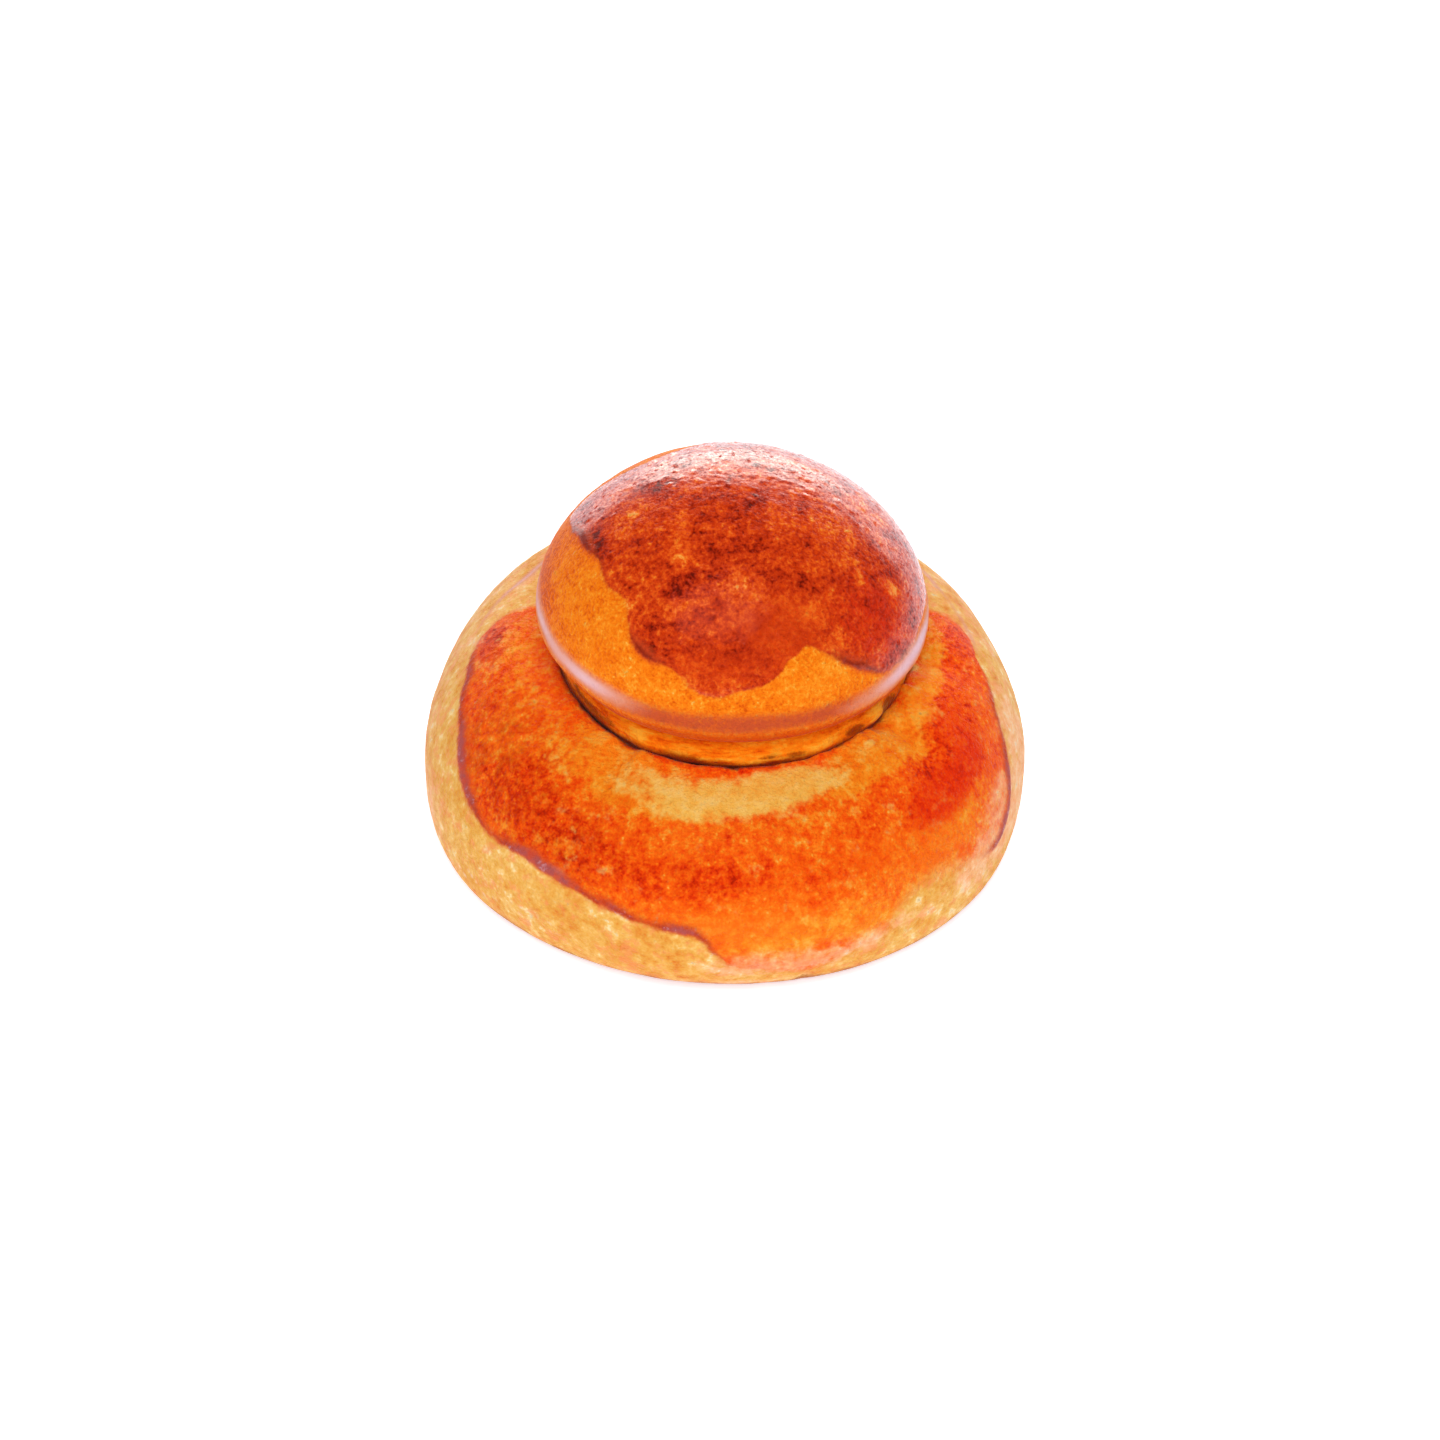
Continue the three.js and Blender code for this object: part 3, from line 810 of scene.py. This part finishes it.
# The crust. A ramp's rows are positions and colours as they look on screen, from dark bake to
# light, and it is read at light + mottling * contrast + shade. Mottling and shade are totals of
# named noises, marks or fields times their weights. A cover says where a layer lies: weights, the
# totals between which it comes in, its amount, and sometimes the name of a field that the total
# is multiplied by, after the even share is added to it.
crust = {
    # noises about 0: wavelength in mm, detail, roughness and distortion
    "noises": {
        "clouds": (11, 3, 0.6), "blotches": (6, 3, 0.85), "fraying": (4.5, 4, 0.7),
        "streaks": (3, 3, 0.75), "tints": (2.8, 3, 0.7), "freckles": (1.6, 2, 0.8),
        "crumbs": (1.5, 2, 0.8), "flecks": (0.9, 1.5, 0.8, 0.3), "grains": (0.5, 1, 0.7),
    },
    "fibreStretch": (0.16, 0.16, 1),  # the neck's fibres run round it
    "fibres": (1, 3, 0.7),  # as the noises
    # round marks: spacing in mm, and the shares of it where a mark ends and where it is full
    "marks": {
        "dots": (1.25, 0.7, 0.12), "bubbles": (1.1, 0.28, 0.12), "spots": (2.6, 0.5, 0.15),
        "sparks": (1.7, 0.38, 0.12), "pits": (1.8, 0.34, 0.16),
    },
    "markShift": (420, 0.0011),  # what moves the marks about: waves per metre, and metres
    "specks": ({"crumbs": 1}, 0.12, 0.28),
    "dense": ({"bake": 1, "clouds": 1.6}, -0.35, 0.75),  # where dark dots stand close
    "calming": 0.65,  # how much of the wash's mottling a calm patch takes away
    "denseContrast": (0.7, 0.35),  # of the body's wash, and what it gains where it is dense
    "knotWash": {
        "ramp": [
            (0, 104, 16, 2), (0.13, 146, 27, 3), (0.31, 188, 45, 6), (0.5, 212, 62, 9),
            (0.69, 233, 87, 16), (0.87, 247, 126, 32), (1, 255, 168, 70),
        ],
        "light": 0.48,
        "mottling": {"blotches": 1.9, "flecks": 0.9, "grains": 0.6},
        "shade": {"clouds": 0.4, "bake": -0.3},
    },
    "bodyWash": {
        "ramp": [
            (0, 186, 32, 4), (0.13, 212, 42, 5), (0.25, 228, 55, 6), (0.37, 238, 70, 8),
            (0.5, 245, 86, 11), (0.62, 249, 99, 14), (0.74, 251, 115, 20), (0.87, 251, 140, 36),
            (1, 250, 176, 76),
        ],
        "light": 0.71,
        "mottling": {"freckles": 1.5, "flecks": 0.5, "bubbles": 0.2, "tints": 0.7, "blotches": 0.6},
        "shade": {"dense": -0.3, "denseDots": -0.12, "bake": -0.06},
    },
    "brown": {"colour": paint(128, 36, 4), "evenly": 0.132, "mottling": {"dots": 0.15, "tints": -0.96}},
    "golden": {
        "ramp": [(0, 242, 102, 12), (0.5, 249, 140, 26), (1, 248, 180, 62)],
        "light": 0.5,
        "mottling": {"streaks": 2.4, "flecks": 0.6},
        "cover": ({"golden": 1, "blotches": 1.6, "clouds": 0.6, "freckles": 0.9}, 0.2, 0.9, 0.92),
    },
    "stretched": {
        "ramp": [(0, 242, 154, 46), (0.5, 245, 183, 80), (1, 250, 206, 120)],
        "light": 0.5,
        "mottling": {"streaks": 1.8, "flecks": 0.3},
        "cover": ({"pale": 1, "streaks": 1.3, "blotches": 1, "clouds": 0.6}, 0.15, 1),
    },
    "red": {"colour": paint(232, 46, 8), "cover": ({"red": 1, "freckles": 1.2}, 0.1, 1, 0.55)},
    "bodyPlain": {
        "ramp": [
            (0, 224, 120, 42), (0.13, 230, 142, 54), (0.31, 233, 160, 66), (0.5, 237, 174, 80),
            (0.69, 242, 188, 98), (0.87, 247, 203, 124), (1, 252, 224, 166),
        ],
        "light": 0.48,
        "mottling": {"specks": 0.21, "spots": 0.245},
        "shade": {"clouds": 1, "streaks": 1.9, "freckles": 0.6, "flecks": 0.4, "pale": 0.25},
    },
    "strewn": ({"clouds": 1, "streaks": 0.5}, -0.1, 0.12),  # where the specks and spots are
    "salmon": {"colour": paint(244, 150, 88), "cover": ({"tints": 1}, -0.02, 0.16, 0.7)},
    "knotPlain": {
        "ramp": [
            (0, 216, 86, 8), (0.13, 231, 101, 10), (0.31, 240, 115, 13), (0.5, 246, 127, 18),
            (0.69, 249, 144, 30), (0.87, 251, 164, 52), (1, 252, 196, 96),
        ],
        "light": 0.46,
        "mottling": {"streaks": 0.8, "flecks": 0.9, "grains": 1.1, "blotches": 0.6},
        "shade": {"golden": 0.28, "bake": -0.35},
    },
    "goldCalming": 0.4,  # how much of that mottling gold takes away
    "neck": {
        "ramp": [
            (0, 136, 34, 2), (0.2, 204, 68, 4), (0.4, 240, 98, 6), (0.55, 250, 119, 10),
            (0.75, 255, 140, 20), (1, 255, 172, 48),
        ],
        "light": 0.64,
        "mottling": {"fibres": 1.6, "blotches": 0.9, "flecks": 0.4, "golden": 0.3},
        "cover": ({"neck": 1}, 0.25, 0.75),
    },
    "border": {"washEdge": 1, "fraying": 2.6},  # mm from the wash's border, moved about by noise
    "borderReach": (-0.25, 0.35),  # where the wash comes in
    "softness": 2.6,  # what a soft end adds to that on both sides
    # painted sheen, a pink haze of reflected light
    "blush": {
        "ramp": [(0, 245, 158, 96), (0.3, 250, 182, 128), (0.6, 254, 200, 152), (1, 255, 230, 196)],
        "light": 0.42,
        "mottling": {"streaks": 2, "flecks": 0.7, "specks": 0.3},
        "cover": ({"tints": 2.6, "blotches": 2.2, "clouds": 1.5}, 0.05, 1.1, 1, "blush", 0.9),
    },
    "paintedSheenOn": (0.85, -0.32),  # its amount on plain crust, and what the wash adds to it
    # painted shade round the knot's widest ring
    "dusk": {"colour": paint(196, 78, 44), "cover": ({"flecks": 1.4, "streaks": 1.2}, 0, 1.1, 0.95, "dusk")},
    # painted highlights on the knot's ring, the shoulders and the bead, whiter at their middles
    "bloom": {
        "colour": paint(230, 152, 122),
        "cover": ({"flecks": 0.8, "tints": 1.2}, 0.05, 1.2, 0.85, "bloom"),
    },
    "paintedHighlightCore": {"colour": paint(238, 212, 228), "cover": ({"bloom": 1}, 0.8, 2)},
    # painted shade on the underside of the knot's rim
    "paintedShadeUnderKnot": {"colour": paint(202, 60, 10), "rise": (8.2, 10.2), "fall": (14, 12.2), "amount": 0.8},
    "bead": {
        "width": (0.2, 0.55),  # mm, and what the bead's strength adds
        # where it comes in, how many widths it is wide, where it goes out, and its amount for
        # each unit of strength and at most
        "line": ((-0.5, 0.5), 1.9, (0, -1.1), 0.9, 0.9),
        "fringe": ((-1, 0.1), 2.2, (0.6, -0.9), 0.7, 0.75),
        "fringeColour": paint(214, 76, 34),
        "onBody": paint(180, 58, 32),
        "onKnot": paint(132, 30, 10),
        # painted reflection: a violet tinge where the bead is strong
        "paintedReflection": {"colour": paint(174, 82, 82), "cover": ({"bead": 1, "flecks": 1}, 0.9, 1.4)},
        # painted highlights on the bead
        "paintedBeadHighlight": ({"streaks": 1, "flecks": 0.7}, 0.1, 0.3, 0.35),
        "least": 0.45,  # what is left of the line where noise breaks it
        "unbroken": ({"blotches": 1}, -0.16, 0, 0.55),
    },
    # painted shade in the crease and in patches beside it
    "crease": {
        "colour": paint(118, 28, 4),
        "distance": {"fromCrease": 1, "streaks": 0.9, "clouds": 2},
        "rise": (-3.9, -2.5),
        "fall": (4.4, 3),
        "tears": ({"torn": 1, "streaks": 1.6, "flecks": 0.5}, 0.2, 0.85, 0.85),
        "amount": 0.88,
    },
    "low": {"height": 1, "clouds": 4, "streaks": 3},  # height in mm, moved about by noise
    "underside": {"colour": paint(168, 92, 40), "cover": ({"low": 1}, 2.6, 0.4, 0.85)},
    # a dark line low on the side: browning of the bottom edge and painted shade where the bun meets the floor
    "baseBrowningAndShade": {"colour": paint(146, 70, 30), "cover": ({"low": 1}, 3.8, 2, 0.6)},
    # painted glints
    "sparkle": {"colour": paint(255, 250, 232), "cover": ({"sparkle": 1, "streaks": 1.2}, 0.3, 0.9, 0.35)},
    "bumpHeight": {"flecks": 0.5, "grains": 0.8, "specks": 0.3},
    "washedHeight": {"flecks": 0.5, "freckles": 0.25},  # what the wash adds to it
    "bump": {"Strength": 0.7, "Distance": 0.0006},
    "roughness": (0.46, -0.28),  # of plain crust, and what the wash adds
    "unevenRoughness": {"blotches": 0.2},
    "coat": (0.06, 0.8),  # of the body's wash, and what the knot's has more
    "unevenCoat": {"flecks": 1.2, "grains": 2.4, "pits": -0.6},
    "surface": {
        "IOR": 1.07,
        "Coat Roughness": 0.22,
        "Coat IOR": 1.38,
        "Sheen Weight": 0.08,
        "Sheen Roughness": 0.35,
        "Sheen Tint": (1.0, 0.90, 0.92, 1.0),
    },
}


def nameValues(graph, look):
    # the skin's fields, the noises, and the marks, which are 1 at their middles and 0 between them
    values = graph.values
    where = graph.add("ShaderNodeTexCoord", output=3)
    for name in fields:
        values[name] = graph.attribute(name)
    for name, settings in look["noises"].items():
        values[name] = graph.noise(where, *settings) - 0.5
    values["fibres"] = graph.noise(where * look["fibreStretch"], *look["fibres"]) - 0.5
    scale, reach = look["markShift"]
    shift = graph.add("ShaderNodeTexNoise", None, {"Vector": where, "Scale": scale}, output=1)
    moved = where + (shift - 0.5) * reach
    for name, (spacing, end, full) in look["marks"].items():
        values[name] = graph.smoothStep(graph.cells(moved, spacing), end, full)
    values["specks"] = graph.cover(*look["specks"])
    values["low"] = graph.total(look["low"])
    values["dense"] = graph.cover(*look["dense"])
    values["denseDots"] = values["dense"] * values["dots"]


def washColour(graph, look):
    # the body's wash, brown by the brown field times the even share + mottling, then golden and
    # pale where it is stretched, with painted highlights on the folds, and the knot's wash, both redder in
    # places
    values = graph.values
    contrast = 1.0 - values["calm"] * look["calming"]
    least, more = look["denseContrast"]
    body = graph.ramp(look["bodyWash"], contrast * (values["dense"] * more + least))
    brown = look["brown"]
    body = graph.mix(body, brown["colour"], values["brown"] * graph.total(brown["mottling"], brown["evenly"]))
    body = graph.layer(graph.layer(body, look["golden"]), look["stretched"])
    wash = graph.mix(body, graph.ramp(look["knotWash"], contrast), values["onKnot"])
    return graph.layer(wash, look["red"])


def plainColour(graph, look):
    # the body's plain crust, strewn with specks and tinted salmon, the knot's, which is calmer
    # where it is golden, and the neck's fibres over both
    body = graph.ramp(look["bodyPlain"], graph.cover(*look["strewn"]))
    body = graph.layer(body, look["salmon"])
    knot = graph.ramp(look["knotPlain"], 1.0 - graph.values["golden"] * look["goldCalming"])
    return graph.layer(graph.mix(body, knot, graph.values["onKnot"]), look["neck"])


def beaded(graph, colour, border, look, paintedHighlightCore):
    # a bead of dried wash along the border, broken by noise, on a softer fringe, with a painted
    # reflection and painted highlights on it. Each comes in with the distance from the border and goes
    # out with the distance - its width.
    strength = graph.values["bead"]
    least, more = look["width"]
    width = strength * more + least

    def along(rise, widths, fall, amount, most):
        share = graph.smoothStep(border, *rise) * graph.smoothStep(border - width * widths, *fall)
        return share * (strength * amount).atMost(most)

    colour = graph.mix(colour, look["fringeColour"], along(*look["fringe"]))
    # the bead's own colour with a painted violet reflection and painted highlights over it
    bead = graph.layer(look["onBody"], look["paintedReflection"])
    bead = graph.mix(bead, paintedHighlightCore, graph.cover(*look["paintedBeadHighlight"]))
    bead = graph.mix(bead, look["onKnot"], graph.values["onKnot"])
    return graph.mix(colour, bead, along(*look["line"]) * (graph.cover(*look["unbroken"]) + look["least"]))


def ringed(graph, colour, look):
    # painted shade round the knot's widest ring, painted highlights on it in places, and painted shade on the
    # knot's underside below it
    colour = graph.layer(colour, look["dusk"])
    bloom = graph.layer(look["bloom"]["colour"], look["paintedHighlightCore"])
    colour = graph.mix(colour, bloom, graph.cover(*look["bloom"]["cover"]))
    under = look["paintedShadeUnderKnot"]
    shaded = graph.band(graph.values["fromCrease"], under["rise"], under["fall"])
    return graph.mix(colour, under["colour"], shaded * under["amount"])


def creaseShaded(graph, colour, look):
    # painted shade in the crease, whose edges noise moves about, and in patches beside it
    dark = graph.band(graph.total(look["distance"]), look["rise"], look["fall"])
    dark = dark.atLeast(graph.cover(*look["tears"]))
    return graph.mix(colour, look["colour"], dark * look["amount"])


def crustMaterial(look):
    # plain crust, the wash over it where the distance from the border is above 0, then painted sheen,
    # the knot's ring with painted shade and highlights, the bead with a painted reflection, painted shade
    # in the crease, the browned underside with painted shade at the base, and painted glints, each over the
    # last
    material = bpy.data.materials.new("egg_washed_crust")
    material.use_nodes = True
    graph = Graph(material.node_tree)
    nameValues(graph, look)
    border = graph.total(look["border"])
    outside, inside = look["borderReach"]
    soft = graph.values["soften"] * look["softness"]
    washed = graph.smoothStep(border, outside - soft, inside + soft)

    colour = graph.mix(plainColour(graph, look), washColour(graph, look), washed)
    # painted sheen over the crust, less of it on the wash
    plain, more = look["paintedSheenOn"]
    paintedSheenShare = graph.cover(*look["blush"]["cover"]) * (washed * more + plain)
    colour = graph.mix(colour, graph.ramp(look["blush"]), paintedSheenShare)
    colour = ringed(graph, colour, look)
    colour = beaded(graph, colour, border, look["bead"], look["paintedHighlightCore"]["colour"])
    colour = creaseShaded(graph, colour, look["crease"])
    # the browned underside, then the line of browning and painted shade at the base
    colour = graph.layer(graph.layer(colour, look["underside"]), look["baseBrowningAndShade"])
    # painted glints, small white specks
    sparkling = graph.cover(*look["sparkle"]["cover"]) * graph.values["sparks"]
    colour = graph.mix(colour, look["sparkle"]["colour"], sparkling)

    # the wash is smooth and lightly coated, most of all on the knot, and plain crust is dull
    height = graph.total(look["bumpHeight"]) + graph.total(look["washedHeight"]) * washed
    plain, more = look["roughness"]
    roughness = graph.total(look["unevenRoughness"], plain) + washed * more
    least, knotCoat = look["coat"]
    coat = graph.total(look["unevenCoat"], knotCoat) * graph.values["onKnot"] + least
    inputs = {
        **look["surface"],
        "Base Color": colour,
        "Roughness": roughness,
        "Coat Weight": washed * coat,
        "Normal": graph.add("ShaderNodeBump", None, {**look["bump"], "Height": height}),
    }
    surface = graph.add("ShaderNodeBsdfPrincipled", None, inputs)
    graph.add("ShaderNodeOutputMaterial", None, {"Surface": surface})
    return material


piece.data.materials.append(crustMaterial(crust))
print("crust coloured")
